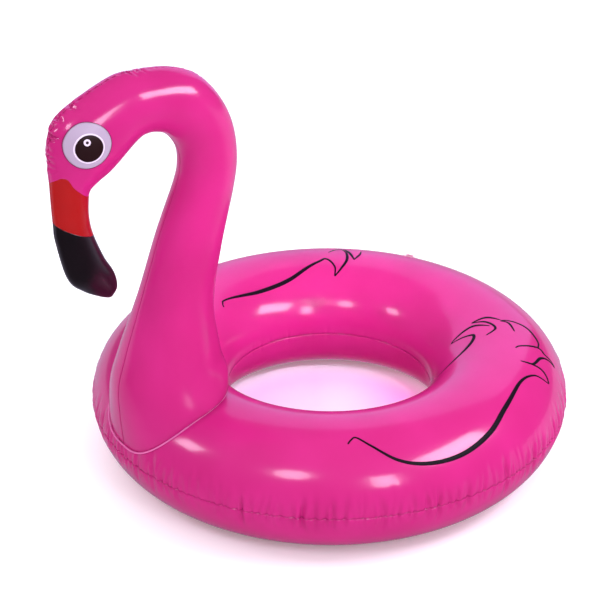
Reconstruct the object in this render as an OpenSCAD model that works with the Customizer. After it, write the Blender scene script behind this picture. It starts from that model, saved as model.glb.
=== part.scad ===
// Inflatable pool float: a swim ring with a long-necked bird's head.
// The film parts are shells as they stand when blown up. Two push-in valves
// fill the two air chambers, the ring and the neck.

/* [Ring] */
// Outer diameter of the inflated ring
ring_d = 920; // [900:5:940]
// Width of the inflated tube, across the two weld seams
tube_w = 261; // [250:1:270]
// Height of the inflated tube
tube_h = 230; // [220:1:240]
// How far the tube's underside is pressed flat by the floor
rest_flat = 1; // [0.5:0.1:2]

/* [Film] */
// Wall thickness of the film parts
film_t = 0.8; // [0.6:0.1:1.2]
// Depth of the weld margin inside each seam
margin = 6; // [4:0.5:8]
// Thickness of the printed eye layers
ink_t = 0.3; // [0.2:0.1:0.4]

/* [Eyes] */
// Radius of the white of the eye, seen from the side
eye_r = 40.5; // [38:0.5:42]
// Radius of the pupil
pupil_r = 25; // [20:0.5:28]

/* [Valves] */
// Place of the ring's valve around the ring, from the tail
ring_valve_turn = 30; // [20:1:60]
// Place of the ring's valve around the tube, up from the outer seam
ring_valve_rise = 58; // [50:1:70]
// Radius of each valve's flange, welded into the film
flange_r = 14; // [12:0.5:16]
// Outer radius of the stem
stem_r = 6; // [5:0.25:7]
// Radius of the stem's air hole
air_r = 3.5; // [3:0.25:4]
// How far the stem can be pulled out
stem_travel = 13.5; // [10:0.5:16]
// Radial clearance of the stem and of the plug
fit_gap = 0.05; // [0.02:0.01:0.1]

/* [Hidden] */

pink = "#dc2a86";
red = "#d2232a";
black = "#241a22";
white = "#f1e6f4";
clear = "#f2b9d3";

half_w = tube_w / 2;
half_h = tube_h / 2;
ring_r = ring_d / 2 - half_w;
seam_z = half_h - rest_flat;
arc_step = 3.75;

// The neck and head are drawn in the plane of symmetry, as pairs of points on the
// two seams: [front seam forward, up, back seam forward, up, half the thickness].
// Forward is measured from the ring's axis and up from the floor.
NECK = [
    [462, 246, 250, 256, 103],
    [446, 311, 260, 302, 90],
    [405, 425, 266, 392, 61],
    [364, 537, 246, 495, 53],
    [326, 626, 216, 605, 47],
    [318, 660, 208, 664, 46],
    [320, 688, 216, 724, 46],
    [331, 710, 241, 777, 47],
    [347, 727, 280, 820, 48],
    [366, 735, 330, 842, 47],
    [386, 737, 386, 848, 46],
    [405, 730, 443, 843, 47],
    [440, 700, 534, 802, 48],
    [458, 686, 558, 766, 44],
    [478, 674, 564, 722, 35],
    [494, 661, 565, 681, 27],
    [498, 641, 565, 642, 24],
    [499, 612, 564, 609, 24],
    [493, 578, 562, 576, 23],
    [475, 529, 545, 503, 22],
    [457, 494, 517, 472, 16],
    [452, 465, 484, 452, 8],
    [461, 449, 468, 446, 2]
];
// Rows of NECK, counted from 1, where the red band and the black tip begin
red_row = 17;
black_row = 19;
row_steps = 2;
side_steps = 18;

// Outline of the weld where the neck stands on the ring, seen from above
foot_forward = 360;
foot_long = 100;
foot_wide = 113;
// The foot's edge stands this far off the ring's film, for the bead of the weld
foot_gap = 1.2;
// Just above the foot the film swells out over the weld, by this share of its width
foot_swell = 0.12;
swell_rows = 2;

// Middle of the eye, forward of the ring's axis and above the floor
eye_forward = 511;
eye_up = 756;

function height_on_ring(rho) =
    seam_z + (half_h + foot_gap)
        * sqrt(max(0, 1 - pow((rho - ring_r) / (half_w + foot_gap), 2)));

// Point at angle k around one drawn row: 0 is the front seam, 180 the back seam
function row_point(i, k, inset) = i == 0
    ? foot_point(k, inset)
    : let (
        r = NECK[i - 1],
        mid = [r[0] + r[2], r[1] + r[3]] / 2,
        arm = [r[0] - r[2], r[1] - r[3]] / 2,
        long = norm(arm),
        p = mid + arm / long * (long - min(inset, long / 3)) * cos(k)
    ) [p[0], p[1], (r[4] - min(inset, r[4] / 3)) * sin(k)];

function foot_point(k, inset) =
    let (
        forward = foot_forward + (foot_long - inset) * cos(k),
        side = (foot_wide - inset) * sin(k)
    ) [forward, height_on_ring(norm([forward, side])), side];

// Smooth curve through four points, from b at f = 0 to c at f = 1
function between(a, b, c, d, f) =
    0.5 * (2 * b + (c - a) * f + (2 * a - 5 * b + 4 * c - d) * f * f
        + (3 * b - a - 3 * c + d) * f * f * f);

// Point on the neck's skin at row position t, with an inset into the wall
function skin(t, k, inset) =
    let (
        last = len(NECK),
        i = min(floor(t), last - 1),
        up = min(t / swell_rows, 1),
        p = between(
            row_point(max(i - 1, 0), k, inset), row_point(i, k, inset),
            row_point(i + 1, k, inset), row_point(min(i + 2, last), k, inset), t - i)
    ) [p[0], p[1], p[2] * (1 + foot_swell * 6.75 * up * pow(1 - up, 2))];

head_reach = max([for (t = [14:0.125:19]) skin(t, 180, 0)[0]]);
// The origin is the middle of the float's outline on the floor
origin_shift = (head_reach - ring_d / 2) / 2;

// One ring of points around a half of the wall, with the weld margins
function wall_loop(t, side) =
    let (
        front = skin(t, 0, 0),
        back = skin(t, 180, 0),
        deep = min(margin, norm(front - back) / 4, film_t + margin * t),
        inward = (back - front) / norm(back - front),
        front_in = front + inward * deep,
        back_in = back - inward * deep,
        lift = [0, 0, min(film_t, skin(t, 90, 0)[2] / 3)],
        outer = [for (j = [0:side_steps]) skin(t, 180 * j / side_steps, 0)],
        inner = [for (j = [side_steps:-1:0])
            let (p = skin(t, 180 * j / side_steps, film_t))
            [p[0], p[1], max(p[2], lift[2])]]
    )
    [for (p = concat([front_in], outer, [back_in, back_in + lift], inner, [front_in + lift]))
        [origin_shift - p[0], side * p[2], p[1]]];

function two_triangles(a, b, c, d) = [[a, b, c], [a, c, d]];

// Closed solid through a stack of thin rings. Each ring's first half of points runs
// along the outside, and its second half comes back along the inside.
module loft(rings, flip) {
    n = len(rings[0]);
    last = len(rings) - 1;
    faces = concat(
        [for (i = [0:last - 1]) for (j = [0:n - 1])
            let (
                a = i * n + j,
                b = i * n + (j + 1) % n,
                c = b + n,
                d = a + n
            )
            each j < n / 2 ? two_triangles(a, b, c, d) : two_triangles(b, c, d, a)],
        [for (end = [0, last]) for (j = [0:n / 2 - 2])
            let (
                m = end * n,
                quad = [m + j, m + n - 1 - j, m + n - 2 - j, m + j + 1]
            )
            each end == 0
                ? two_triangles(quad[0], quad[1], quad[2], quad[3])
                : two_triangles(quad[3], quad[2], quad[1], quad[0])]);
    turned = flip ? [for (f = faces) [f[2], f[1], f[0]]] : faces;
    polyhedron([for (r = rings) for (p = r) p], turned, 10);
}

// One side of the neck's wall, from one row to another. side is -1 left, 1 right.
module wall(from_row, to_row, side) {
    loft([for (i = [from_row * row_steps:to_row * row_steps])
        wall_loop(i / row_steps, side)], side > 0);
}

// Place on the head's skin, as [row, angle], that is seen from the side at the point
// [forward, up], found by closing in from a first guess
function seen_at(target, row, k, tries = 5) = tries == 0
    ? [row, k]
    : let (
        p = skin(row, k, 0),
        by_row = (skin(row + 0.02, k, 0) - p) / 0.02,
        by_k = skin(row, k + 1, 0) - p,
        miss = [target[0] - p[0], target[1] - p[1]],
        area = by_row[0] * by_k[1] - by_row[1] * by_k[0],
        row_move = (miss[0] * by_k[1] - miss[1] * by_k[0]) / area,
        k_move = (by_row[0] * miss[1] - by_row[1] * miss[0]) / area
    )
    seen_at(target, row + row_move, k + k_move, tries - 1);

function ink_point(target, height, side) =
    let (place = seen_at(target, 13.3, 110), p = skin(place[0], place[1], -height))
    [origin_shift - p[0], side * p[2], p[1]];

// A round layer of ink on the side of the head, from low to high above the film
module ink_disc(r, low, high, side) {
    across = 8;
    ways = [for (j = [0:across]) 2 * j / across - 1];
    loft([for (a = [4:172 / 15:176])
        let (
            forward = eye_forward + r * cos(a),
            half = r * sin(a)
        )
        concat(
            [for (w = ways) ink_point([forward, eye_up + half * w], high, side)],
            [for (j = [across:-1:0])
                ink_point([forward, eye_up + half * ways[j]], low, side)])
    ], side > 0);
}

module eye_white(side) {
    color(white) ink_disc(eye_r, ink_t, 2 * ink_t, side);
}

module pupil(side) {
    color(black) ink_disc(pupil_r, 2.5 * ink_t, 3.5 * ink_t, side);
}

// Half of the tube's wall, cut open: up is 1 for the top film and -1 for the bottom
module ring_film(up) {
    outer = [for (a = [0:arc_step:180])
        [ring_r + half_w * cos(a), max(0, seam_z + up * half_h * sin(a))]];
    inner = [for (a = [180 - arc_step:-arc_step:arc_step / 2])
        [ring_r + (half_w - film_t) * cos(a),
            max(film_t, seam_z + up * (half_h - film_t) * sin(a))]];
    inner_seam = ring_r - half_w;
    outer_seam = ring_r + half_w;
    lift = up * film_t;
    translate([origin_shift, 0, 0]) rotate_extrude($fn = 180)
        polygon(concat(
            outer,
            [[inner_seam + margin, seam_z], [inner_seam + margin, seam_z + lift],
                [inner_seam + film_t, seam_z + lift]],
            inner,
            [[outer_seam - film_t, seam_z + lift], [outer_seam - margin, seam_z + lift],
                [outer_seam - margin, seam_z]]));
}

// Frames of the two valves: +Z points straight out of the film, 0 is at its skin
module at_ring_valve() {
    lean = atan(half_w / half_h * tan(ring_valve_rise));
    translate([origin_shift, 0, 0])
        rotate([0, 0, ring_valve_turn])
        translate([ring_r + half_w * cos(ring_valve_rise), 0,
            seam_z + half_h * sin(ring_valve_rise)])
        rotate([0, 90 - lean, 0]) children();
}

neck_valve_row = 3.4;
// Lean of the neck's side at the valve, upwards from level
neck_valve_lean = 4;

module at_neck_valve() {
    place = skin(neck_valve_row, 90, 0);
    translate([origin_shift - place[0], place[2], place[1]])
        rotate([neck_valve_lean - 90, 0, 0]) children();
}

flange_top = 0.6;
flange_depth = 2;
sleeve_r = 8;
sleeve_depth = 6;
lip_r = 8.5;
lip_low = 0.9;
lip_high = 2.1;
keeper_r = 7;
keeper_t = 1;
stem_depth = sleeve_depth + stem_travel + 0.5 + keeper_t;
cap_r = 8;
cap_low = 2.4;
cap_t = 1.8;
plug_length = 8;
tether_t = 0.8;
tether_w = 4;
tether_reach = 13;
flap_r = 5.6;
flap_gap = 0.3;

module valve_base() {
    color(clear) difference() {
        union() {
            translate([0, 0, -flange_depth])
                cylinder(h = flange_depth + flange_top, r = flange_r, $fn = 64);
            translate([0, 0, -sleeve_depth])
                cylinder(h = sleeve_depth, r = sleeve_r, $fn = 64);
        }
        translate([0, 0, -sleeve_depth - 1])
            cylinder(h = sleeve_depth + flange_top + 2, r = stem_r + fit_gap, $fn = 64);
    }
}

module valve_stem() {
    color(clear) difference() {
        union() {
            translate([0, 0, -stem_depth])
                cylinder(h = stem_depth + lip_high, r = stem_r, $fn = 64);
            translate([0, 0, lip_low])
                cylinder(h = lip_high - lip_low, r = lip_r, $fn = 64);
            translate([0, 0, -stem_depth])
                cylinder(h = keeper_t, r = keeper_r, $fn = 64);
        }
        translate([0, 0, -stem_depth - 1])
            cylinder(h = stem_depth + lip_high + 2, r = air_r, $fn = 64);
    }
}

// A strap folded once, from the stem's lip out and back to the cap's edge
module valve_tether() {
    low = lip_high - tether_t - 0.2;
    high = cap_low + cap_t - tether_t - 0.2;
    bend = (high + tether_t - low) / 2;
    color(clear) translate([0, tether_w / 2, 0]) rotate([90, 0, 0])
        linear_extrude(height = tether_w) difference() {
            union() {
                translate([lip_r + 0.1, low])
                    square([tether_reach - bend - lip_r - 0.1, 2 * bend]);
                translate([tether_reach - bend, low + bend]) circle(r = bend, $fn = 32);
            }
            translate([0, low + tether_t])
                square([tether_reach - bend, 2 * (bend - tether_t)]);
            translate([tether_reach - bend, low + bend])
                circle(r = bend - tether_t, $fn = 32);
        }
}

// A push-in plug under a flat head with a small pull tab
module valve_cap() {
    color(clear) union() {
        translate([0, 0, cap_low]) cylinder(h = cap_t, r = cap_r, $fn = 64);
        translate([0, 0, cap_low - plug_length + 1])
            cylinder(h = plug_length, r = air_r - fit_gap, $fn = 64);
        translate([-cap_r - 5, -3, cap_low + 0.5]) cube([7, 6, cap_t - 0.5]);
    }
}

module valve_flap() {
    color(clear) translate([0, 0, -stem_depth - flap_gap - tether_t])
        cylinder(h = tether_t, r = flap_r, $fn = 64);
}

module ring_top_panel() {
    color(pink) difference() {
        ring_film(1);
        at_ring_valve() translate([0, 0, -10]) cylinder(h = 20, r = flange_r, $fn = 64);
    }
}

module ring_bottom_panel() {
    color(pink) ring_film(-1);
}

module neck_left_panel() {
    color(pink) wall(0, red_row, -1);
}

module neck_right_panel() {
    color(pink) difference() {
        wall(0, red_row, 1);
        at_neck_valve() translate([0, 0, -10]) cylinder(h = 20, r = flange_r, $fn = 64);
    }
}

module beak_red(side) {
    color(red) wall(red_row, black_row, side);
}

module beak_tip(side) {
    color(black) wall(black_row, len(NECK), side);
}

ring_top_panel();
ring_bottom_panel();
neck_left_panel();
neck_right_panel();
beak_red(-1);  // beak_red_left
beak_red(1);  // beak_red_right
beak_tip(-1);  // beak_tip_left
beak_tip(1);  // beak_tip_right
eye_white(-1);  // eye_white_left
eye_white(1);  // eye_white_right
pupil(-1);  // pupil_left
pupil(1);  // pupil_right
at_ring_valve() valve_base();  // ring_valve_base
at_ring_valve() valve_stem();  // ring_valve_stem
at_ring_valve() valve_tether();  // ring_valve_tether
at_ring_valve() valve_cap();  // ring_valve_cap
at_ring_valve() valve_flap();  // ring_valve_flap
at_neck_valve() valve_base();  // neck_valve_base
at_neck_valve() valve_stem();  // neck_valve_stem
at_neck_valve() valve_tether();  // neck_valve_tether
at_neck_valve() valve_cap();  // neck_valve_cap
at_neck_valve() valve_flap();  // neck_valve_flap
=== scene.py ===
"""Inflatable pool float with a long-necked bird's head.

Metres, +Z up, floor at z = 0, head toward -X, the plane of symmetry at y = 0.
The left side is -Y. Films, seams and printed lines are built here round the
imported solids; the valves' mouldings stay and get their finish.
"""

import math
import random

import bmesh
import bpy
import numpy as np
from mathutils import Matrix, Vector
from mathutils.bvhtree import BVHTree


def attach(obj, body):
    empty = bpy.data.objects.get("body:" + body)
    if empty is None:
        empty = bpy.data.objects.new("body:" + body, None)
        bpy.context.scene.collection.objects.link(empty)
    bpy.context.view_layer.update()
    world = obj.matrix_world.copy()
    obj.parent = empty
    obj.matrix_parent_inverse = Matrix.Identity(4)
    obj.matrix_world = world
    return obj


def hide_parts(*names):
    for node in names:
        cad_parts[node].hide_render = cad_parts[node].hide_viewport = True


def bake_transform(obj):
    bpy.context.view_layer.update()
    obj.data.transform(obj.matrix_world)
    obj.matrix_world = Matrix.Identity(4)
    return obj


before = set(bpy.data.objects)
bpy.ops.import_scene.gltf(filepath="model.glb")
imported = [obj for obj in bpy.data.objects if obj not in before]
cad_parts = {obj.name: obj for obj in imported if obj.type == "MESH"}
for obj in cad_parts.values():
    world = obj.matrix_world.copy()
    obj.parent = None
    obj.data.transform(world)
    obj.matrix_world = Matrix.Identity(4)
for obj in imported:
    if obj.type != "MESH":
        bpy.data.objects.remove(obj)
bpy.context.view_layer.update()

MM = 0.001

# ---------------------------------------------------------------- the float's sizes
RING_R = 329.5 * MM        # the tube's middle, from the ring's axis
TUBE_HALF_W = 130.5 * MM
TUBE_HALF_H = 115.0 * MM
SEAM_Z = 114.0 * MM
REST_SOFT = 2 * MM         # how softly the tube flattens where it rests
SHIFT = 52.5625 * MM       # the ring's axis, along X
FILM_T = 0.8 * MM

# rows of the neck and head: front seam (forward, up), back seam (forward, up), half thickness
NECK_ROWS = np.array([
    [462, 246, 250, 256, 103], [446, 311, 260, 302, 90], [405, 425, 266, 392, 61],
    [364, 537, 246, 495, 53], [326, 626, 216, 605, 47], [318, 660, 208, 664, 46],
    [320, 688, 216, 724, 46], [331, 710, 241, 777, 47], [347, 727, 280, 820, 48],
    [366, 735, 330, 842, 47], [386, 737, 386, 848, 46], [405, 730, 443, 843, 47],
    [440, 700, 534, 802, 48], [458, 686, 558, 766, 44], [478, 674, 564, 722, 35],
    [494, 661, 565, 681, 27], [498, 641, 565, 642, 24], [499, 612, 564, 609, 24],
    [493, 578, 562, 576, 23], [475, 529, 545, 503, 22], [457, 494, 517, 472, 16],
    [452, 465, 484, 452, 8], [461, 449, 468, 446, 2]], float) * MM
FOOT_FORWARD = 360 * MM    # the middle of the neck's foot on the ring
FOOT_LONG = 100 * MM       # half its length
FOOT_WIDE = 113 * MM       # half its width
FOOT_SWELL = 0.12          # just above the foot the film swells out over the weld by this share
SWELL_ROWS = 2.0           # and it is back on its rows this many rows up
FOOT_BACK = 3 * MM         # the foot's front end lies this far back from the ellipse's
FOOT_BLUNT = 0.08          # and stands out at its corners by this share
LAST_ROW = float(len(NECK_ROWS))

# where the print changes, along the rows, from the front seam (0) to the back seam (180)
RED_FROM = [(0, 16.45), (60, 16.25), (81, 15.98), (104, 15.67), (122, 15.32),
            (134, 15.34), (156, 15.6), (180, 15.8)]
BLACK_FROM = [(0, 19.0), (45, 18.93), (92, 18.6), (115, 18.34), (144, 18.04), (180, 17.83)]

# the printed eye: the place of each round's middle (forward, up), and its radius
EYE_AT = (511 * MM, 756 * MM)
EYE_R = 39.5 * MM
PUPIL_AT = (510.5 * MM, 752.5 * MM)
PUPIL_R = 25 * MM
GLINT_AT = (514 * MM, 764 * MM)
GLINT_R = 6 * MM
GLINT_HOLE_R = 2.6 * MM
RIM_W = 1.6 * MM           # the pale line left round the pupil


# ---------------------------------------------------------------- shapes that follow a rule
def to_part(forward, side, up):
    """Forward is toward the head, side toward the left; the part's X runs the other way."""
    return np.stack([SHIFT - forward, -side, up + 0 * forward], -1)


def ring_shape(theta, a):
    """theta round the ring from the head to the left side; a round the tube, 0 outside, 90 on top."""
    rho = RING_R + TUBE_HALF_W * np.cos(a)
    z = SEAM_Z + TUBE_HALF_H * np.sin(a)
    z = 0.5 * (z + np.sqrt(z * z + REST_SOFT ** 2))
    return to_part(rho * np.cos(theta), rho * np.sin(theta), z)


def ring_top_z(rho):
    return SEAM_Z + TUBE_HALF_H * np.sqrt(np.clip(1 - ((rho - RING_R) / TUBE_HALF_W) ** 2, 0, 1))


def row_point(i, k):
    """A point of the neck's foot (row 0) or of one of its rows: forward, up, side."""
    if i == 0:
        ahead = np.maximum(np.cos(k), 0)
        blunt = 1 + FOOT_BLUNT * np.sin(2 * k) ** 2 * (ahead > 0)
        forward = FOOT_FORWARD + (FOOT_LONG - FOOT_BACK * ahead) * np.cos(k) * blunt
        side = FOOT_WIDE * np.sin(k) * blunt
        rho = np.minimum(np.hypot(forward, side), RING_R + TUBE_HALF_W)
        return np.stack([forward, ring_top_z(rho), side], -1)
    front, back, thick = NECK_ROWS[i - 1, :2], NECK_ROWS[i - 1, 2:4], NECK_ROWS[i - 1, 4]
    mid, half = (front + back) / 2, (front - back) / 2
    turned = np.cos(k)
    return np.stack([mid[0] + half[0] * turned, mid[1] + half[1] * turned, thick * np.sin(k)], -1)


def neck_shape(t, k):
    """Row number t (may lie between rows), angle k from the front seam; smooth through the rows."""
    t, k = np.broadcast_arrays(np.asarray(t, float), np.asarray(k, float))
    last = len(NECK_ROWS)
    out = np.zeros(t.shape + (3,))
    i = np.clip(np.floor(t), 0, last - 1).astype(int)
    for n in np.unique(i):
        here = i == n
        f, kk = (t[here] - n)[:, None], k[here]
        around = (max(n - 1, 0), n, min(n + 1, last), min(n + 2, last))
        a, b, c, d = (row_point(j, kk) for j in around)
        out[here] = 0.5 * (2 * b + (c - a) * f + (2 * a - 5 * b + 4 * c - d) * f * f
                           + (3 * b - a - 3 * c + d) * f ** 3)
    up = np.minimum(t / SWELL_ROWS, 1)
    swell = 1 + FOOT_SWELL * 27 / 4 * up * (1 - up) ** 2        # 27 / 4 brings the curve's top to 1
    return to_part(out[..., 0], out[..., 2] * swell, out[..., 1])


def through(points, x):
    """A smooth curve through given (x, y) points, read at x."""
    xs, ys = np.array(points, float).T
    slope = np.gradient(ys, xs)
    i = np.clip(np.searchsorted(xs, x) - 1, 0, len(xs) - 2)
    h = xs[i + 1] - xs[i]
    u = np.clip((x - xs[i]) / h, 0, 1)
    return ((2 * u ** 3 - 3 * u ** 2 + 1) * ys[i] + (u ** 3 - 2 * u ** 2 + u) * h * slope[i]
            + (3 * u ** 2 - 2 * u ** 3) * ys[i + 1] + (u ** 3 - u ** 2) * h * slope[i + 1])


def grid_normals(grid):
    """Unit normals of a grid of points [along, across]."""
    n = np.cross(np.gradient(grid, axis=0), np.gradient(grid, axis=1))
    return n / np.maximum(np.linalg.norm(n, axis=-1, keepdims=True), 1e-12)


# ---------------------------------------------------------------- making pieces
def keep(name, mesh, body, material, hides=()):
    piece = bpy.data.objects.new(name, mesh)
    bpy.context.scene.collection.objects.link(piece)
    if material is not None:
        mesh.materials.clear()
        mesh.materials.append(material)
    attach(piece, body)
    if hides:
        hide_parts(*hides)
    return piece


def mesh_of(name, points, faces, smooth=True):
    mesh = bpy.data.meshes.new(name)
    mesh.from_pydata([tuple(p) for p in np.asarray(points, float)], [], faces)
    if smooth:
        mesh.polygons.foreach_set("use_smooth", [True] * len(mesh.polygons))
    mesh.update()
    return mesh


def tidy_mesh(mesh):
    """Merge what coincides, and turn every closed part of a new mesh the right way out."""
    work = bmesh.new()
    work.from_mesh(mesh)
    bmesh.ops.remove_doubles(work, verts=work.verts, dist=0.001 * MM)
    bmesh.ops.recalc_face_normals(work, faces=work.faces)
    work.to_mesh(mesh)
    work.free()


def film_mesh(name, outer, normals, wall, closed, cut=None):
    """A film with real thickness from a grid of outside points; cells marked in cut are left out."""
    n, m = outer.shape[:2]
    cells = n if closed else n - 1
    kept = np.ones((cells, m - 1), bool) if cut is None else ~cut
    inner = outer - normals * wall
    points = np.concatenate([outer.reshape(-1, 3), inner.reshape(-1, 3)])

    def at(i, j, side):
        return (i % n) * m + j + side * n * m
    faces, rim = [], []
    for i in range(cells):
        for j in range(m - 1):
            if not kept[i, j]:
                continue
            faces.append((at(i, j, 0), at(i + 1, j, 0), at(i + 1, j + 1, 0), at(i, j + 1, 0)))
            faces.append((at(i, j, 1), at(i, j + 1, 1), at(i + 1, j + 1, 1), at(i + 1, j, 1)))
            for (di, dj), (p, q) in (((0, -1), ((0, 0), (1, 0))), ((1, 0), ((1, 0), (1, 1))),
                                     ((0, 1), ((1, 1), (0, 1))), ((-1, 0), ((0, 1), (0, 0)))):
                a, b = i + di, j + dj
                a = a % cells if closed else a
                if 0 <= a < cells and 0 <= b < m - 1 and kept[a, b]:
                    continue
                rim.append(tuple(at(i + c[0], j + c[1], s)
                                 for c, s in ((p, 1), (q, 1), (q, 0), (p, 0))))
    used = sorted({v for f in faces for v in f})
    index = {v: w for w, v in enumerate(used)}
    return mesh_of(name, points[used], [tuple(index[v] for v in f) for f in faces + rim])


# ---------------------------------------------------------------- creases of the tight film
def crease_set(seed, length, gap, spread, depth, reach, below):
    """Creases along a seam, a gap apart: place, depth, width, reach on each side of the seam, and lean.

    below is the share of the reach that the second side gets; most creases are faint and a few deep.
    """
    rng = random.Random(seed)
    at = 0.0
    found = []
    while at < length:
        strength = rng.uniform(0.25, 1.0) ** 1.6
        found.append((at, depth * (0.3 + strength), rng.uniform(2.0, 3.6) * MM,
                      reach * rng.uniform(0.5, 1.0), reach * rng.uniform(0.5, 0.9) * below,
                      rng.uniform(-0.2, 0.2)))
        at += gap * rng.uniform(1 - spread, 1 + spread)
    return found


def crease_depth(creases, along, across, length):
    """How far the film is drawn in at each point: along the seam, and across from its line, in metres."""
    drawn = np.zeros(along.shape)
    line = along[:, 0] if along.ndim == 2 else along
    for at, depth, width, up, down, lean in creases:
        away = (along - at - lean * np.abs(across) + length / 2) % length - length / 2
        near = np.abs((line - at + length / 2) % length - length / 2) < 12 * width
        if not near.any():
            continue
        a, c = away[near], across[near]
        reach = np.where(c >= 0, up, down)
        fade = np.clip(1 - (c / reach) ** 2, 0, 1)
        w = width * (1 + 0.8 * np.abs(c) / reach)
        groove = np.exp(-(a / w) ** 2)
        # the film stands up a little on both sides of a groove
        shoulder = 0.35 * np.exp(-((np.abs(a) - 2.6 * w) / (1.4 * w)) ** 2)
        drawn[near] += depth * fade * (groove - shoulder)
    return drawn


RING_LONG = 2 * math.pi * (RING_R + TUBE_HALF_W)
HOLE_LONG = 2 * math.pi * (RING_R - TUBE_HALF_W)
OUTER_CREASES = crease_set(11, RING_LONG, gap=15 * MM, spread=0.5, depth=2.3 * MM, reach=62 * MM, below=0.6)
OUTER_FOLDS = crease_set(12, RING_LONG, gap=48 * MM, spread=0.3, depth=4.2 * MM, reach=66 * MM, below=0.8)
INNER_CREASES = crease_set(13, HOLE_LONG, gap=40 * MM, spread=0.5, depth=0.45 * MM, reach=24 * MM, below=0.9)
SEAM_GROOVE_W = 2.2 * MM
OUTER_GROOVE = 0.7 * MM    # how far a weld draws the film in
INNER_GROOVE = 0.14 * MM
HEAD_GROOVE = 0.5 * MM


def ring_creased(theta, a):
    """The ring's film with its creases, and its normals, at angles round the ring and round the tube."""
    base = ring_shape(theta, a)
    across, up = np.cos(a) / TUBE_HALF_W, np.sin(a) / TUBE_HALF_H
    normals = np.stack([-across * np.cos(theta), -across * np.sin(theta), up], -1)
    normals /= np.linalg.norm(normals, axis=-1, keepdims=True)
    round_tube = (TUBE_HALF_W + TUBE_HALF_H) / 2
    out = theta * (RING_R + TUBE_HALF_W)
    hole = theta * (RING_R - TUBE_HALF_W)
    wrapped = (a + math.pi) % (2 * math.pi) - math.pi
    drawn = crease_depth(OUTER_CREASES, out, wrapped * round_tube, RING_LONG)
    drawn += crease_depth(OUTER_FOLDS, out, wrapped * round_tube, RING_LONG)
    drawn += crease_depth(INNER_CREASES, hole, (math.pi - a) * round_tube, HOLE_LONG)
    drawn += OUTER_GROOVE * np.exp(-(wrapped * round_tube / SEAM_GROOVE_W) ** 2)
    drawn += INNER_GROOVE * np.exp(-((a - math.pi) * round_tube / SEAM_GROOVE_W) ** 2)
    return base - normals * drawn[..., None], normals


def spaced(first, last, count, tight):
    """Angles from first to last, closer together at both ends."""
    u = np.linspace(0, 1, count)
    u = (1 - tight) * u + tight * (0.5 - 0.5 * np.cos(math.pi * u))
    return first + (last - first) * u


# ---------------------------------------------------------------- materials
def hex_colour(code):
    """An sRGB hex colour as the linear values that a shader takes."""
    parts = [int(code[i:i + 2], 16) / 255 for i in (1, 3, 5)]
    return tuple(c / 12.92 if c <= 0.04045 else ((c + 0.055) / 1.055) ** 2.4 for c in parts) + (1.0,)


def new_material(name):
    material = bpy.data.materials.new(name)
    material.use_nodes = True
    tree = material.node_tree
    tree.nodes.clear()
    return material, tree


def add(tree, kind, inputs=None, **settings):
    """One node: settings are its properties, inputs its sockets' values or the sockets that feed them."""
    node = tree.nodes.new(kind)
    for key, value in settings.items():
        setattr(node, key, value)
    for key, value in (inputs or {}).items():
        socket = node.inputs[key]
        if isinstance(value, bpy.types.NodeSocket):
            tree.links.new(value, socket)
        else:
            socket.default_value = value
    return node


def film_material(name, colour, deep, glow, through_light, roughness, coat):
    """Calendered soft PVC film: glossy, slightly wavy, and it lets some light through."""
    material, tree = new_material(name)
    place = add(tree, "ShaderNodeTexCoord").outputs["Object"]
    # slow waves of a blown-up film, 90 mm from one to the next, and the fine grain of the rolls, 1.6 mm
    waves = add(tree, "ShaderNodeTexNoise", {"Vector": place, "Scale": 11.0, "Detail": 1.5, "Roughness": 0.4})
    grain = add(tree, "ShaderNodeTexNoise", {"Vector": place, "Scale": 620.0, "Detail": 2.0})
    bump = add(tree, "ShaderNodeBump", {"Strength": 0.12, "Distance": 0.004, "Height": waves.outputs[0]})
    fine = add(tree, "ShaderNodeBump", {"Strength": 0.05, "Distance": 0.0004, "Height": grain.outputs[0],
                                        "Normal": bump.outputs[0]})
    shade = add(tree, "ShaderNodeValToRGB", {"Fac": waves.outputs[0]})
    shade.color_ramp.elements[0].position, shade.color_ramp.elements[1].position = 0.3, 0.7
    shade.color_ramp.elements[0].color = hex_colour(deep)
    shade.color_ramp.elements[1].color = hex_colour(colour)
    skin = add(tree, "ShaderNodeBsdfPrincipled", {
        "Base Color": shade.outputs[0], "Roughness": roughness, "IOR": 1.53, "Coat Weight": coat,
        "Coat Roughness": 0.05, "Normal": fine.outputs[0]})
    light = add(tree, "ShaderNodeBsdfTranslucent", {"Color": hex_colour(glow), "Normal": fine.outputs[0]})
    both = add(tree, "ShaderNodeMixShader", {0: through_light, 1: skin.outputs[0], 2: light.outputs[0]})
    add(tree, "ShaderNodeOutputMaterial", {"Surface": both.outputs[0]})
    return material


def ink_material(name, colour, roughness, shine=0.3):
    """Screen-printed vinyl ink: a thin even layer with a soft gloss and a faint mottle."""
    material, tree = new_material(name)
    place = add(tree, "ShaderNodeTexCoord").outputs["Object"]
    # the mottle of the ink, 3 mm across
    mottle = add(tree, "ShaderNodeTexNoise", {"Vector": place, "Scale": 330.0, "Detail": 2.0})
    spread = add(tree, "ShaderNodeMapRange", {"Value": mottle.outputs[0], "To Min": roughness - 0.05,
                                              "To Max": roughness + 0.05})
    bump = add(tree, "ShaderNodeBump", {"Strength": 0.08, "Distance": 0.0003, "Height": mottle.outputs[0]})
    skin = add(tree, "ShaderNodeBsdfPrincipled", {
        "Base Color": hex_colour(colour), "Roughness": spread.outputs[0], "IOR": 1.5,
        "Specular IOR Level": shine, "Normal": bump.outputs[0]})
    add(tree, "ShaderNodeOutputMaterial", {"Surface": skin.outputs[0]})
    return material


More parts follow.
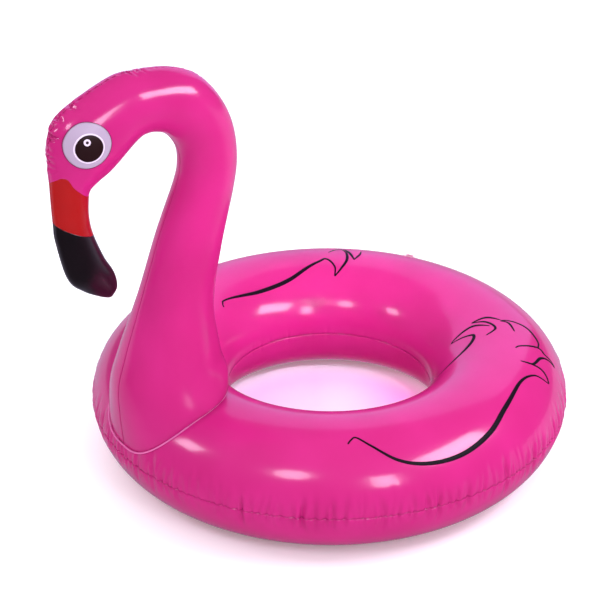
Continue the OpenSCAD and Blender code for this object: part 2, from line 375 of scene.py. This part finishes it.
def moulding_material(name, colour, glow):
    """Injection-moulded soft PVC: smooth, cloudy and a little see-through, with faint flow marks."""
    material, tree = new_material(name)
    place = add(tree, "ShaderNodeTexCoord").outputs["Object"]
    # flow marks of the moulding, 4 mm apart
    flow = add(tree, "ShaderNodeTexNoise", {"Vector": place, "Scale": 240.0, "Detail": 2.0,
                                            "Distortion": 0.6})
    bump = add(tree, "ShaderNodeBump", {"Strength": 0.1, "Distance": 0.0003, "Height": flow.outputs[0]})
    skin = add(tree, "ShaderNodeBsdfPrincipled", {
        "Base Color": hex_colour(colour), "Roughness": 0.32, "IOR": 1.52, "Normal": bump.outputs[0]})
    light = add(tree, "ShaderNodeBsdfTranslucent", {"Color": hex_colour(glow), "Normal": bump.outputs[0]})
    both = add(tree, "ShaderNodeMixShader", {0: 0.35, 1: skin.outputs[0], 2: light.outputs[0]})
    add(tree, "ShaderNodeOutputMaterial", {"Surface": both.outputs[0]})
    return material


# glossy hot pink that glows a little where light comes from behind
PINK_FILM = film_material("calendered_pvc_film_pink", "#cd267f", "#c52177", "#e052be",
                          through_light=0.2, roughness=0.19, coat=0.4)
# the printed zones: duller than the bare film, and nearly opaque
RED_FILM = film_material("calendered_pvc_film_red_print", "#a80709", "#a00608", "#d02010",
                         through_light=0.06, roughness=0.24, coat=0.05)
BLACK_FILM = film_material("calendered_pvc_film_black_print", "#170d14", "#120a10", "#4a0620",
                           through_light=0.04, roughness=0.28, coat=0.15)
# welds: two films melted into one, darker along the seams; the pale pink on the flange at the foot is a
# painted highlight, the bright line that light makes along the weld
FOOT_WELD_PAINTED_HIGHLIGHT = film_material("heat_welded_pvc_flange_painted_highlight", "#f07cc0", "#ea70b8", "#f090c8",
                               through_light=0.3, roughness=0.16, coat=0.4)
WELD_FILM = film_material("heat_welded_pvc_seam_pink", "#bb1770", "#b31468", "#d03a98",
                          through_light=0.1, roughness=0.22, coat=0.4)
WHITE_INK = ink_material("screen_ink_thin_white", "#a795ac", 0.34)
PALE_INK = ink_material("screen_ink_white", "#dccae0", 0.34)
OUTLINE_INK = ink_material("screen_ink_dark_magenta", "#7c1250", 0.42)
PUPIL_INK = ink_material("screen_ink_brown_black", "#240a0e", 0.4)
DARK_INK = ink_material("screen_ink_near_black", "#0e0410", 0.5, 0.12)
VALVE_PVC = moulding_material("moulded_soft_pvc_valve", "#f0b4cf", "#f7a9cc")

# ---------------------------------------------------------------- ring films
RING_STEPS = 1600
TUBE_STEPS = 48
VALVE_HOLE_R = 11 * MM     # the hole in the film, hidden under the valve's flange


def near_valve(points, centre, radius):
    """Cells of a grid whose middle lies within a valve's mouth."""
    mid = (points[:-1, :-1] + points[1:, 1:]) / 2
    return np.linalg.norm(mid - np.array(centre), axis=-1) < radius


def ring_film(name, first, last, hides, hole=None):
    theta = np.linspace(0, 2 * math.pi, RING_STEPS, endpoint=False)[:, None]
    a = spaced(first, last, TUBE_STEPS + 1, 0.45)[None, :]
    theta, a = np.broadcast_arrays(theta, a)
    outer, normals = ring_creased(theta, a)
    cut = None
    if hole is not None:
        joined = np.concatenate([outer, outer[:1]])
        cut = near_valve(joined, hole, VALVE_HOLE_R)
    mesh = film_mesh(name, outer, normals, FILM_T, True, cut)
    piece = keep(name, mesh, "float_body", PINK_FILM, hides)
    return piece


RING_VALVE_AT = np.array([397.81, 199.33, 211.53]) * MM
NECK_VALVE_AT = np.array([-271.84, 56.19, 451.49]) * MM
ring_film("ring_top_film", 0.0, math.pi, ("ring_top_panel",), RING_VALVE_AT)
ring_film("ring_bottom_film", math.pi, 2 * math.pi, ("ring_bottom_panel",))

# ---------------------------------------------------------------- neck and head films
NECK_STEPS = 620
RED_STEPS = 60
TIP_STEPS = 90
row_marks = np.linspace(0, LAST_ROW, 1200)


def seam_run(k):
    """The length along a seam of the neck and head, from the foot to each of the row marks."""
    steps = np.diff(neck_shape(row_marks, k), axis=0)
    return np.concatenate([[0], np.cumsum(np.linalg.norm(steps, axis=1))])


back_run = seam_run(math.pi)
front_run = seam_run(0.0)


def seam_creases(seed, run, first_row, last_row, gap, depth, reach, width):
    start, end = (np.interp(r, row_marks, run) for r in (first_row, last_row))
    return [(start + c[0], c[1], c[2] * width, *c[3:])
            for c in crease_set(seed, end - start, gap, 0.35, depth, reach, 1.0)]


# deep pleats along the forehead's seam, and finer ones along the nape and under the head
FOREHEAD = seam_creases(31, back_run, 11.0, 15.3, gap=12 * MM, depth=4.2 * MM, reach=34 * MM, width=1.0)
NAPE = seam_creases(32, back_run, 5.5, 11.0, gap=10 * MM, depth=1.1 * MM, reach=16 * MM, width=0.8)
THROAT = seam_creases(33, front_run, 12.2, 15.5, gap=14 * MM, depth=0.9 * MM, reach=14 * MM, width=0.8)
FOREHEAD_LIFT = 2.6 * MM                # how far the forehead's film stands out between its pleats,
FOREHEAD_WIDE = 45 * MM                 # how far from the seam,
FOREHEAD_ROWS = ([10.5, 11.8, 14.8, 15.9], [0, 1, 1, 0])        # and its share along the rows
VALVE_SEAT = 1.3 * MM                   # how far the neck's film lies down for the valve's flange,
SEAT_R = 34 * MM                        # from this far off
SEAT_SLOPE = 14 * MM
OPEN_SEAM = 10.0                        # longer than any seam, so no crease wraps round to its start
GIRTH = 1.35                            # the film's length round a row, over its half thickness, per radian


def neck_creased(t, k, side):
    """The film of one side of the neck and head with its creases, and its normals, at rows and angles."""
    base = neck_shape(t, k * side)
    normals = -grid_normals(base) * side
    run_b, run_f = np.interp(t, row_marks, back_run), np.interp(t, row_marks, front_run)
    half = np.interp(t, np.arange(1, LAST_ROW + 1), NECK_ROWS[:, 4]) * GIRTH
    from_front, from_back = k * half, (math.pi - k) * half
    drawn = np.zeros(t.shape)
    for creases in (FOREHEAD, NAPE):
        drawn += crease_depth(creases, run_b, from_back, OPEN_SEAM)
    drawn += crease_depth(THROAT, run_f, from_front, OPEN_SEAM)
    lifted = np.clip(1 - (from_back / FOREHEAD_WIDE) ** 2, 0, 1)
    drawn -= FOREHEAD_LIFT * np.interp(t, *FOREHEAD_ROWS) * lifted
    seam = np.exp(-(from_front / SEAM_GROOVE_W) ** 2) + np.exp(-(from_back / SEAM_GROOVE_W) ** 2)
    drawn = (drawn + HEAD_GROOVE * seam) * np.clip(t / 0.4, 0, 1) * np.clip((LAST_ROW - t) / 1.5, 0, 1)
    if side < 0:
        # the film lies under the valve's flange, and comes up again past its edge
        inside = np.clip((SEAT_R - np.linalg.norm(base - NECK_VALVE_AT, axis=-1)) / SEAT_SLOPE, 0, 1)
        drawn += VALVE_SEAT * inside * inside * (3 - 2 * inside)
    return base - normals * drawn[..., None], normals


def neck_film(name, side, first, last, steps, across, material, hides, hole=None):
    """A strip of the neck's film between two lines of the print; first and last give rows by angle."""
    k = spaced(0, math.pi, across + 1, 0.5)
    low, high = first(np.degrees(k)), last(np.degrees(k))
    u = np.linspace(0, 1, steps + 1)[:, None]
    t = low[None, :] * (1 - u) + high[None, :] * u
    kk = np.broadcast_to(k[None, :], t.shape)
    outer, normals = neck_creased(t, kk, side)
    if side > 0:
        outer, normals = outer[:, ::-1], normals[:, ::-1]
    cut = near_valve(outer, hole, VALVE_HOLE_R) if hole is not None else None
    mesh = film_mesh(name, outer, normals, FILM_T, False, cut)
    piece = keep(name, mesh, "float_body", material, hides)
    return piece


def flat_line(row):
    return lambda angle: np.full_like(angle, row)


def red_line(angle):
    return through(RED_FROM, angle)


def black_line(angle):
    return through(BLACK_FROM, angle)


neck_skins = {}
for side, word in ((1, "left"), (-1, "right")):
    hole = NECK_VALVE_AT if word == "right" else None
    neck_skins[word] = neck_film(f"neck_{word}_film", side, flat_line(0.0), red_line, NECK_STEPS, 72,
                                 PINK_FILM, (f"neck_{word}_panel",), hole)
    neck_film(f"beak_red_{word}_film", side, red_line, black_line, RED_STEPS, 60,
              RED_FILM, (f"beak_red_{word}",))
    neck_film(f"beak_tip_{word}_film", side, black_line, flat_line(LAST_ROW), TIP_STEPS, 60,
              BLACK_FILM, (f"beak_tip_{word}",))


# ---------------------------------------------------------------- the printed eyes
INK_BELOW = 0.2 * MM       # a print's underside lies this far inside the film


def skin_tree(piece):
    points = [v.co.copy() for v in piece.data.vertices]
    return BVHTree.FromPolygons(points, [tuple(p.vertices) for p in piece.data.polygons])


def ink_disc(name, tree, side, middle, outer_r, inner_r, proud, material, hides=()):
    """A round print on the side of the head: rings of points carried onto the film, closed below."""
    rings, spokes = 14, 96
    forward, up = middle
    top, under = [], []
    for i in range(rings + 1):
        r = inner_r + (outer_r - inner_r) * i / rings
        edge = min(1.0, (rings - i) / 2.0)
        for j in range(spokes):
            w = 2 * math.pi * j / spokes
            start = Vector((SHIFT - forward - r * math.cos(w), -side * 0.3, up + r * math.sin(w)))
            hit, normal, _, _ = tree.ray_cast(start, Vector((0, side, 0)))
            if normal.dot(Vector((0, side, 0))) > 0:
                normal = -normal
            top.append(hit + normal * (proud * (0.45 + 0.55 * edge)))
            under.append(hit - normal * INK_BELOW)
    count = len(top)
    faces = []
    for i in range(rings):
        for j in range(spokes):
            a, b = i * spokes + j, i * spokes + (j + 1) % spokes
            c, d = b + spokes, a + spokes
            faces += [(a, b, c, d), (a + count, d + count, c + count, b + count)]
    for j in range(spokes):
        a, b = rings * spokes + j, rings * spokes + (j + 1) % spokes
        faces.append((a, b, b + count, a + count))
        a, b = j, (j + 1) % spokes
        if inner_r:
            faces.append((b, a, a + count, b + count))
    mesh = mesh_of(name, top + under, faces)
    tidy_mesh(mesh)
    return keep(name, mesh, "float_body", material, hides)


for side, word in ((1, "left"), (-1, "right")):
    tree = skin_tree(neck_skins[word])
    ink_disc(f"eye_white_{word}_ink", tree, side, EYE_AT, EYE_R, 0.0, 0.35 * MM,
             WHITE_INK, (f"eye_white_{word}",))
    ink_disc(f"pupil_{word}_ink", tree, side, PUPIL_AT, PUPIL_R - RIM_W, 0.0, 0.7 * MM,
             PUPIL_INK, (f"pupil_{word}",))
    ink_disc(f"pupil_rim_{word}_ink", tree, side, PUPIL_AT, PUPIL_R + RIM_W / 2, PUPIL_R - RIM_W, 0.6 * MM,
             PALE_INK)
    ink_disc(f"eye_outline_{word}_ink", tree, side, EYE_AT, EYE_R + RIM_W / 3, EYE_R - RIM_W / 3, 0.6 * MM,
             OUTLINE_INK)
    ink_disc(f"eye_glint_{word}_ink", tree, side, GLINT_AT, GLINT_R, GLINT_HOLE_R, 0.95 * MM,
             PALE_INK)


# ---------------------------------------------------------------- printed feather lines on the ring
def smooth_path(points, per_span=14):
    """A curve through given points, the same rule as the neck's rows."""
    pts = np.array(points, float)
    pts = np.vstack([2 * pts[0] - pts[1], pts, 2 * pts[-1] - pts[-2]])
    f = np.linspace(0, 1, per_span, endpoint=False)[:, None]
    out = [0.5 * (2 * b + (c - a) * f + (2 * a - 5 * b + 4 * c - d) * f * f
                  + (3 * b - a - 3 * c + d) * f ** 3)
           for a, b, c, d in zip(pts, pts[1:], pts[2:], pts[3:])]
    return np.vstack(out + [pts[-2:-1]])


def printed_line(points, widest, narrow, peak):
    """Points and faces of one line of ink through (round the ring, round the tube), in degrees.

    Its width grows from narrow at the ends to widest at the share of its length that peak gives.
    """
    path = np.radians(smooth_path(points))
    theta, a = path[:, 0], path[:, 1]
    rho = RING_R + TUBE_HALF_W * np.cos(a)
    arm = np.hypot(TUBE_HALF_W * np.sin(a), TUBE_HALF_H * np.cos(a))
    step_t, step_a = rho * np.gradient(theta), arm * np.gradient(a)
    size = np.hypot(step_t, step_a)
    run = np.cumsum(size) - size[0]
    u = run / run[-1]
    bell = np.sin(0.5 * math.pi * np.where(u < peak, u / peak, (1 - u) / (1 - peak)))
    half = 0.5 * (narrow + (widest - narrow) * np.clip(bell, 0, 1) ** 1.3)
    half *= np.clip(np.minimum(run, run[-1] - run) / (1.5 * MM), 0.25, 1)
    rings = []
    for place in (-1.0, -0.5, 0.0, 0.5, 1.0):
        off = half * place
        t2, a2 = theta - off * step_a / size / rho, a + off * step_t / size / arm
        film, normal = ring_creased(t2, a2)
        rings.append((film + normal * (0.12 + 0.13 * (1 - place ** 2)) * MM, film - normal * 0.25 * MM))
    loop = [r[0] for r in rings] + [r[1] for r in reversed(rings)]
    n, m = len(theta), len(loop)
    points = np.stack(loop, 1).reshape(-1, 3)
    faces = [(i * m + j, i * m + (j + 1) % m, (i + 1) * m + (j + 1) % m, (i + 1) * m + j)
             for i in range(n - 1) for j in range(m)]
    return points, faces + [tuple(range(m))[::-1], tuple((n - 1) * m + j for j in range(m))]


def feather_print(name, strokes):
    points, faces = [], []
    for line, widest, narrow, peak in strokes:
        more, sides = printed_line(line, widest * MM, narrow * MM, peak)
        start = len(points)
        points += list(more)
        faces += [tuple(start + i for i in f) for f in sides]
    mesh = mesh_of(name, points, faces)
    tidy_mesh(mesh)
    return keep(name, mesh, "float_body", DARK_INK)


# round the ring from the head, round the tube from its outer side, in degrees; then widths in mm
NEAR_WING = [
    ([(60, 66), (61, 70), (62.5, 72), (66, 63), (72, 47.5), (79, 40), (88, 39), (98, 46), (108, 57),
      (120, 63), (127, 56), (129, 39.5)], 9.4, 3.2, 0.6),
    ([(129, 39.5), (131, 45), (132, 52), (131.5, 62), (130.5, 71)], 5.7, 3.1, 0.4),
    ([(130.5, 71), (132, 60), (137, 54), (139, 45.5), (138.5, 36)], 6.1, 3.1, 0.5),
    ([(138.5, 36), (140, 42), (140.5, 49), (142, 56.5), (139, 73), (137, 77.5)], 5.7, 3.1, 0.4),
    ([(142, 56.5), (145.5, 55.5), (151.5, 63.5), (154, 79), (153.7, 86.7)], 6.1, 3.1, 0.5),
    ([(153.7, 86.7), (152.4, 80), (147.3, 77)], 5.1, 2.9, 0.4),
    ([(154.4, 86), (157, 97), (156, 111)], 6.1, 3.1, 0.4),
    ([(156, 111), (154, 99), (149, 93), (144.5, 102)], 5.7, 2.9, 0.4),
    ([(151, 97), (153.5, 112), (150.6, 130), (149, 135)], 6.1, 3.1, 0.4),
    ([(149, 135), (148, 119), (146, 112.5), (138, 120), (123, 146)], 7.3, 2.3, 0.45),
]
FAR_WING = [
    ([(292, 126), (290.6, 122), (287.5, 120.6), (270, 126.5), (253.6, 121), (240, 101.5), (236.5, 96.4),
      (233, 108), (232.8, 120)], 9.6, 2.9, 0.45),
    ([(232.8, 120), (230.5, 111), (228.6, 98.5), (229.2, 84.3), (231.5, 71.3)], 6.1, 3.1, 0.5),
    ([(231.5, 71.3), (233.4, 75.6), (235.6, 83.5)], 4.7, 2.6, 0.4),
    ([(230.3, 72.7), (228, 84), (225.8, 96.3)], 6.1, 3.1, 0.4),
    ([(225.8, 96.3), (224.5, 86), (224.5, 77)], 5.1, 2.6, 0.4),
]
feather_print("wing_print_left", NEAR_WING)
feather_print("wing_print_right", FAR_WING)

# ---------------------------------------------------------------- welded seams, made by one rule
RING_BEAD_R = 0.5 * MM
HEAD_BEAD_R = 0.7 * MM
FOOT_BEAD_R = 1.7 * MM
FOOT_BEAD_OUT = 2.6 * MM   # the foot's bead lies this far out from the neck's film


def bead_rule():
    """Geometry Nodes: a path's edges become a round bead of weld along it."""
    tree = bpy.data.node_groups.new("weld_bead_along_seam", "GeometryNodeTree")
    sockets = tree.interface
    sockets.new_socket("Seam path", in_out="INPUT", socket_type="NodeSocketGeometry")
    radius = sockets.new_socket("Bead radius", in_out="INPUT", socket_type="NodeSocketFloat")
    sides = sockets.new_socket("Bead sides", in_out="INPUT", socket_type="NodeSocketInt")
    finish = sockets.new_socket("Finish", in_out="INPUT", socket_type="NodeSocketMaterial")
    sockets.new_socket("Bead", in_out="OUTPUT", socket_type="NodeSocketGeometry")
    given = add(tree, "NodeGroupInput")
    line = add(tree, "GeometryNodeMeshToCurve", {"Mesh": given.outputs["Seam path"]})
    section = add(tree, "GeometryNodeCurvePrimitiveCircle", {
        "Resolution": given.outputs["Bead sides"], "Radius": given.outputs["Bead radius"]}, mode="RADIUS")
    bead = add(tree, "GeometryNodeCurveToMesh", {
        "Curve": line.outputs[0], "Profile Curve": section.outputs[0], "Fill Caps": True})
    solid = add(tree, "GeometryNodeRealizeInstances", {"Geometry": bead.outputs[0]})
    smooth = add(tree, "GeometryNodeSetShadeSmooth", {"Geometry": solid.outputs[0]})
    painted = add(tree, "GeometryNodeSetMaterial", {"Geometry": smooth.outputs[0],
                                                    "Material": given.outputs["Finish"]})
    add(tree, "NodeGroupOutput", {"Bead": painted.outputs[0]})
    return tree, radius.identifier, sides.identifier, finish.identifier


BEAD_TREE, BEAD_RADIUS, BEAD_SIDES, BEAD_FINISH = bead_rule()


def weld_bead(name, paths, radius, material):
    """paths are (points, closed) pairs; the bead is a piece of its own on the float's body."""
    points, edges = [], []
    for path, closed in paths:
        start, n = len(points), len(path)
        points += [tuple(map(float, p)) for p in path]
        edges += [(start + i, start + (i + 1) % n) for i in range(n if closed else n - 1)]
    route = bpy.data.meshes.new(name + "_route")
    route.from_pydata(points, edges, [])
    carrier = bpy.data.objects.new(name + "_route", route)
    bpy.context.scene.collection.objects.link(carrier)
    rule = carrier.modifiers.new("bead", "NODES")
    rule.node_group = BEAD_TREE
    rule[BEAD_RADIUS], rule[BEAD_SIDES], rule[BEAD_FINISH] = radius, 8, material
    graph = bpy.context.evaluated_depsgraph_get()
    mesh = bpy.data.meshes.new_from_object(carrier.evaluated_get(graph))
    bpy.data.objects.remove(carrier)
    mesh.name = name
    tidy_mesh(mesh)
    return keep(name, mesh, "float_body", material)


round_ring = np.linspace(0, 2 * math.pi, RING_STEPS, endpoint=False)
for name, angle in (("ring_outer_seam", 0.0), ("ring_inner_seam", math.pi)):
    seam_line, seam_out = ring_creased(round_ring, np.full(RING_STEPS, angle))
    weld_bead(name, [(seam_line - seam_out * 0.1 * MM, True)], RING_BEAD_R, WELD_FILM)


def head_seam(k, first, last, count):
    """The front seam (k = 0) or the back seam (k = pi) of the neck and head, between two rows."""
    t = np.linspace(first, last, count)[:, None]
    kk = np.array([[k - 0.02, k]]) if k > 1 else np.array([[k, k + 0.02]])
    line, out = neck_creased(np.broadcast_to(t, (count, 2)), np.broadcast_to(kk, (count, 2)), 1)
    path = line[:, -1 if k > 1 else 0]
    path[:, 1] = 0.0
    return path, False


def seam_rows(line):
    """The rows at which a line of the print meets the front seam and the back seam."""
    return [float(line(np.array([angle]))[0]) for angle in (0, 180)]


SEAM_START = 0.05          # the row, just up from the foot, where the neck's seams start
SEAM_END = LAST_ROW - 0.02
red_row, black_row = seam_rows(red_line), seam_rows(black_line)
for word, first, last, steps, node_slot, material in (
        ("pink", (SEAM_START, SEAM_START), red_row, NECK_STEPS, "pink_film", WELD_FILM),
        ("red", red_row, black_row, RED_STEPS, "red_film", RED_FILM),
        ("black", black_row, (SEAM_END, SEAM_END), TIP_STEPS, "black_film", BLACK_FILM)):
    seams = [head_seam(k, lo, hi, steps) for k, lo, hi in zip((0.0, math.pi), first, last)]
    weld_bead(f"head_seam_{word}", seams, HEAD_BEAD_R, material)

foot_turn = np.linspace(0, 2 * math.pi, 240, endpoint=False)
foot = neck_shape(0.0, foot_turn)
foot_out = foot - foot.mean(0)
foot_out[:, 2] = 0.0
foot += foot_out / np.linalg.norm(foot_out, axis=1)[:, None] * FOOT_BEAD_OUT
# the foot's bead carries a painted highlight: its pale pink stands for the bright line of light along the
# weld
weld_bead("neck_foot_weld", [(foot, True)], FOOT_BEAD_R, FOOT_WELD_PAINTED_HIGHLIGHT)

# ---------------------------------------------------------------- valves
# each valve's place, the way across its strap, and the way out of the film
VALVES = {
    "ring_valve": (RING_VALVE_AT, np.array([-0.5, 0.8660254, 0.0]), np.array([0.41773, 0.24118, 0.87597])),
    "neck_valve": (NECK_VALVE_AT, np.array([0.0, 0.069756, -0.997564]), np.array([0.0, 0.997564, 0.069756])),
}
LIP_R = 8.4 * MM           # the stem's lip and the cap's edge, where the strap starts and ends
LOW_STRAP_Z = 1.5 * MM     # the strap on the stem
HIGH_STRAP_Z = 3.6 * MM    # the strap on the cap
STRAP_REACH = 12.6 * MM    # how far out the strap's bend goes
STRAP_W = 4.0 * MM
STRAP_T = 0.8 * MM


def strap_line():
    """The middle of the folded strap, as (outwards, up): out along the stem's lip, round, and back."""
    bend = (HIGH_STRAP_Z - LOW_STRAP_Z) / 2
    turn = np.linspace(-math.pi / 2, math.pi / 2, 15)
    line = [(x, LOW_STRAP_Z) for x in np.linspace(LIP_R, STRAP_REACH - bend, 6)]
    line += [(STRAP_REACH - bend + bend * math.cos(w), LOW_STRAP_Z + bend + bend * math.sin(w))
             for w in turn[1:-1]]
    line += [(x, HIGH_STRAP_Z) for x in np.linspace(STRAP_REACH - bend, LIP_R - STRAP_T, 6)]
    return np.array(line)


def valve_strap(valve, place, y_way, z_way):
    x_way = np.cross(y_way, z_way)
    line = strap_line()
    way = np.gradient(line, axis=0)
    way /= np.linalg.norm(way, axis=1)[:, None]
    side_way = np.stack([way[:, 1], -way[:, 0]], -1)
    # a flat strap with rounded edges
    section = [(math.copysign(1, math.cos(w)) * min(1, 1.25 * abs(math.cos(w))) * STRAP_W / 2,
                math.sin(w) * STRAP_T / 2) for w in np.linspace(0, 2 * math.pi, 16, endpoint=False)]
    points = [place + x_way * (p[0] + s[0] * h) + z_way * (p[1] + s[1] * h) + y_way * w
              for p, s in zip(line, side_way) for w, h in section]
    n, m = len(line), len(section)
    faces = [(i * m + j, i * m + (j + 1) % m, (i + 1) * m + (j + 1) % m, (i + 1) * m + j)
             for i in range(n - 1) for j in range(m)]
    faces += [tuple(range(m))[::-1], tuple((n - 1) * m + j for j in range(m))]
    mesh = mesh_of(f"{valve}_strap", points, faces)
    tidy_mesh(mesh)
    mesh.materials.append(VALVE_PVC)
    strap = bpy.data.objects.new(f"{valve}_strap", mesh)
    bpy.context.scene.collection.objects.link(strap)
    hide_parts(f"{valve}_tether")
    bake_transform(strap)


for valve, (place, y_way, z_way) in VALVES.items():
    for part in ("base", "stem", "cap", "flap"):
        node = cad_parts[f"{valve}_{part}"]
        if node.material_slots:
            node.material_slots[0].material = VALVE_PVC
        else:
            node.data.materials.append(VALVE_PVC)
    valve_strap(valve, place, y_way, z_way)

# ---------------------------------------------------------------- camera, floor and light
MIX_A, MIX_B, MIX_OUT = 6, 7, 2         # a Mix node's colour sockets
AWAY = (0.57, 0.82, 0.0)                # along the floor, from the camera
RIGHT = (0.83, -0.56, 0.0)              # along the floor, to the camera's right


def floor_material():
    """White card, lit from within as a light table is; it shows only faintly in the film's gloss."""
    material, tree = new_material("matt_white_floor")
    place = add(tree, "ShaderNodeTexCoord").outputs["Object"]

    def along(way):
        return add(tree, "ShaderNodeVectorMath", {0: place, 1: way}, operation="DOT_PRODUCT").outputs["Value"]

    def blend(share, first, second):
        colours = {0: share, MIX_A: hex_colour(first), MIX_B: hex_colour(second)}
        return add(tree, "ShaderNodeMix", colours, data_type="RGBA").outputs[MIX_OUT]

    # painted light: inside the ring the card's colour is painted pink-lilac and its glow pink, stronger
    # towards the right, for the light that comes through the film
    from_ring = add(tree, "ShaderNodeVectorMath", {0: place, 1: (SHIFT, 0.0, 0.0)}, operation="DISTANCE")
    in_hole = add(tree, "ShaderNodeMapRange", {"Value": from_ring.outputs["Value"],
                                               "From Min": 0.32, "From Max": 0.2},
                  interpolation_type="SMOOTHSTEP").outputs[0]
    painted_glow_right = add(tree, "ShaderNodeMapRange", {"Value": along(RIGHT), "From Min": 0.02, "From Max": 0.2})
    painted_glow_share = add(tree, "ShaderNodeMath", {0: painted_glow_right.outputs[0], 1: in_hole},
                    operation="MULTIPLY").outputs[0]
    card = add(tree, "ShaderNodeBsdfDiffuse", {"Color": blend(in_hole, "#f6f4f6", "#d9b0dc")})
    strength = add(tree, "ShaderNodeMapRange", {"Value": painted_glow_share, "To Min": 0.15, "To Max": 0.6})
    table = add(tree, "ShaderNodeEmission", {"Color": blend(painted_glow_share, "#ffffff", "#f05cb4"),
                                             "Strength": strength.outputs[0]})
    lit = add(tree, "ShaderNodeAddShader", {0: card.outputs[0], 1: table.outputs[0]})
    # in the film's gloss the card is dark near the camera and bright behind the float; inside the ring it
    # shows a painted pink reflection, for the light that comes through the film
    farther = add(tree, "ShaderNodeMapRange", {"Value": along(AWAY), "From Min": -0.6, "From Max": 0.15,
                                               "To Min": 0.03, "To Max": 0.8})
    faint = add(tree, "ShaderNodeEmission", {"Color": blend(in_hole, "#e9e0ff", "#d8307f"),
                                             "Strength": farther.outputs[0]})
    rays = add(tree, "ShaderNodeLightPath")
    surface = add(tree, "ShaderNodeMixShader", {0: rays.outputs["Is Glossy Ray"], 1: lit.outputs[0],
                                                2: faint.outputs[0]})
    add(tree, "ShaderNodeOutputMaterial", {"Surface": surface.outputs[0]})
    return material


def studio_floor(half_size=9):
    corners = [(-half_size, -half_size, 0), (half_size, -half_size, 0),
               (half_size, half_size, 0), (-half_size, half_size, 0)]
    mesh = mesh_of("studio_floor", corners, [(0, 1, 2, 3)], False)
    mesh.materials.append(floor_material())
    floor = bpy.data.objects.new("studio_floor", mesh)
    bpy.context.scene.collection.objects.link(floor)


def studio_room():
    """A broad ceiling of light, darker in the film's gloss than the light that it spreads."""
    world = bpy.data.worlds.new("studio_room")
    world.use_nodes = True
    bpy.context.scene.world = world
    room = world.node_tree
    room.nodes.clear()
    upward = add(room, "ShaderNodeSeparateXYZ", {0: add(room, "ShaderNodeTexCoord").outputs["Generated"]})
    # 0.35 at the walls, 1.5 overhead
    height = add(room, "ShaderNodeMapRange", {"Value": upward.outputs["Z"], "From Min": 0.0,
                                              "From Max": 1.0, "To Min": 0.35, "To Max": 1.5})
    soft = add(room, "ShaderNodeBackground", {"Color": hex_colour("#ffffff"), "Strength": height.outputs[0]})
    dim = add(room, "ShaderNodeBackground", {"Color": hex_colour("#ffffff"), "Strength": 0.1})
    rays = add(room, "ShaderNodeLightPath")
    both = add(room, "ShaderNodeMixShader", {0: rays.outputs["Is Glossy Ray"], 1: soft.outputs[0],
                                             2: dim.outputs[0]})
    add(room, "ShaderNodeOutputWorld", {"Surface": both.outputs[0]})


def softbox(name, place, aim, width, height, power, shape="RECTANGLE", colour="#f1ebff"):
    """An area light at a place, turned to its aim; sizes in metres and power in watts."""
    data = bpy.data.lights.new(name, "AREA")
    data.shape, data.size, data.size_y, data.energy = shape, width, height, power
    data.color = hex_colour(colour)[:3]
    lamp = bpy.data.objects.new(name, data)
    lamp.location = place
    lamp.visible_camera = False
    lamp.rotation_euler = (Vector(aim) - Vector(place)).to_track_quat("-Z", "Y").to_euler()
    bpy.context.scene.collection.objects.link(lamp)
    return lamp


def studio_lights():
    ring_mid = (0.05, 0.0, 0.15)
    far_wall = (0.14, 0.24, 0.14)
    softbox("softbox_right_front", (0.80, -1.17, 1.42), ring_mid, 1.0, 0.5, 19)
    softbox("softbox_front", (-0.38, -2.63, 1.73), ring_mid, 0.55, 0.9, 17)
    softbox("round_light_left_front", (-2.0, -1.5, 2.6), ring_mid, 0.85, 0.85, 18, "ELLIPSE")
    softbox("window_light_left", (-2.05, 0.75, 1.87), ring_mid, 0.5, 0.5, 8)
    # a narrow light into the hole, which doesn't show in the gloss
    inside = softbox("fill_inside_the_ring", (-0.3, -1.2, 1.6), far_wall, 0.3, 0.3, 0.65)
    inside.data.spread = math.radians(24)
    inside.visible_glossy = False
    softbox("backdrop_panel", (1.9, 2.6, 1.75), ring_mid, 4.2, 3.2, 48, colour="#c2b9ff")


def view_camera():
    data = bpy.data.cameras.new("view_camera")
    data.sensor_fit = "HORIZONTAL"
    data.sensor_width = 36.0
    data.lens = 104.03
    camera = bpy.data.objects.new("view_camera", data)
    camera.location = (-1.6565, -2.4408, 1.8989)
    camera.rotation_euler = (math.radians(61.58), 0.0, math.radians(-34.13))
    bpy.context.scene.collection.objects.link(camera)
    bpy.context.scene.camera = camera
    bpy.context.scene.view_settings.view_transform = "Standard"


studio_floor()
studio_room()
studio_lights()
view_camera()
